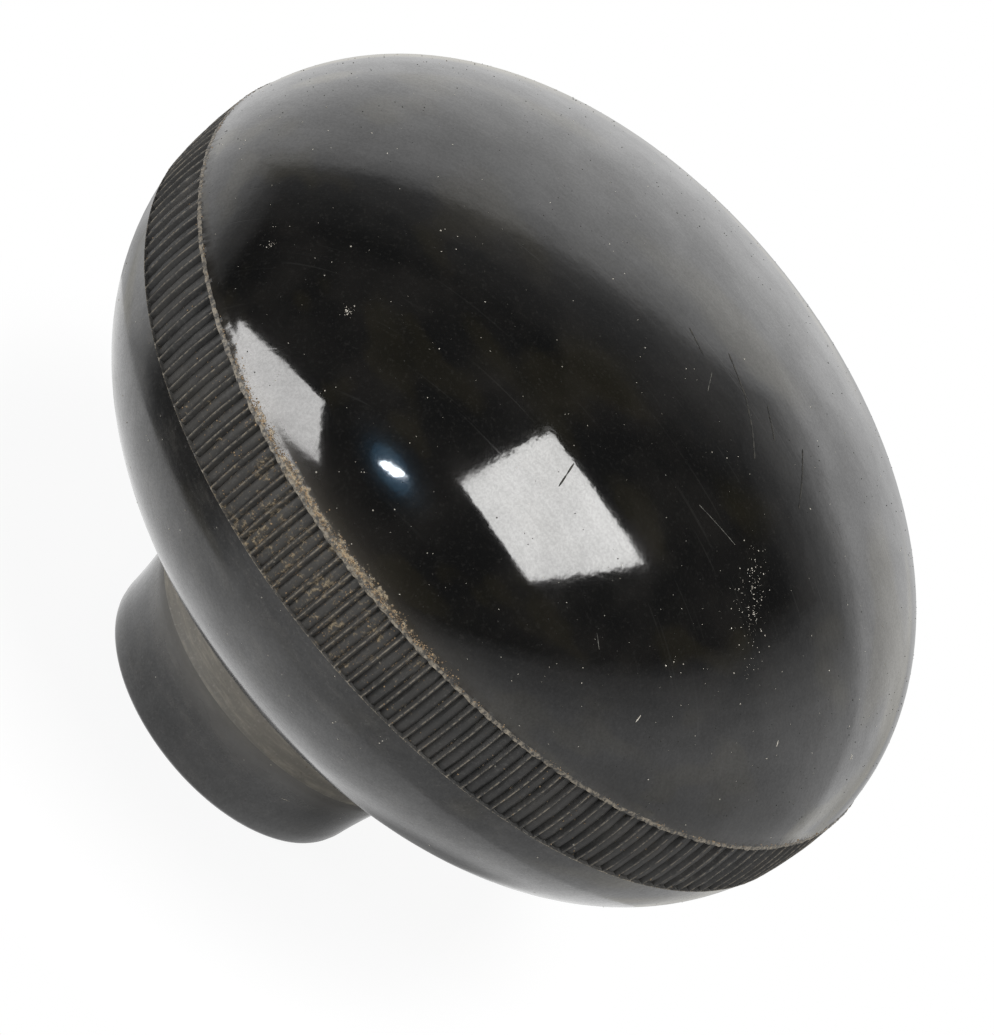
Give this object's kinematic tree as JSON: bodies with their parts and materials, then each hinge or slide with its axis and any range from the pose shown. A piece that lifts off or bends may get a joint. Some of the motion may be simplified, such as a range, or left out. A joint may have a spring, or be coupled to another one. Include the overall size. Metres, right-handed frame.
{
  "type": "ball handle",
  "caption": "Flattened ball handle with a glossy domed top, a finely ribbed grip band round its widest part and a short flared neck holding a threaded metal bush.",
  "frame": {"origin": "centre of the neck's end face, on the turning axis", "axes": "+Z along the turning axis, from the neck's end towards the dome"},
  "size_m": [0.05, 0.05, 0.0385],
  "materials": {
    "black_moulding": "moulded black resin, polished on the dome, duller on the neck and in the flutes",
    "brass": "turned, dulled by age"
  },
  "bodies": {
    "root": {"knob_body": "black_moulding", "threaded_bush": "brass"}
  },
  "joints": []
}
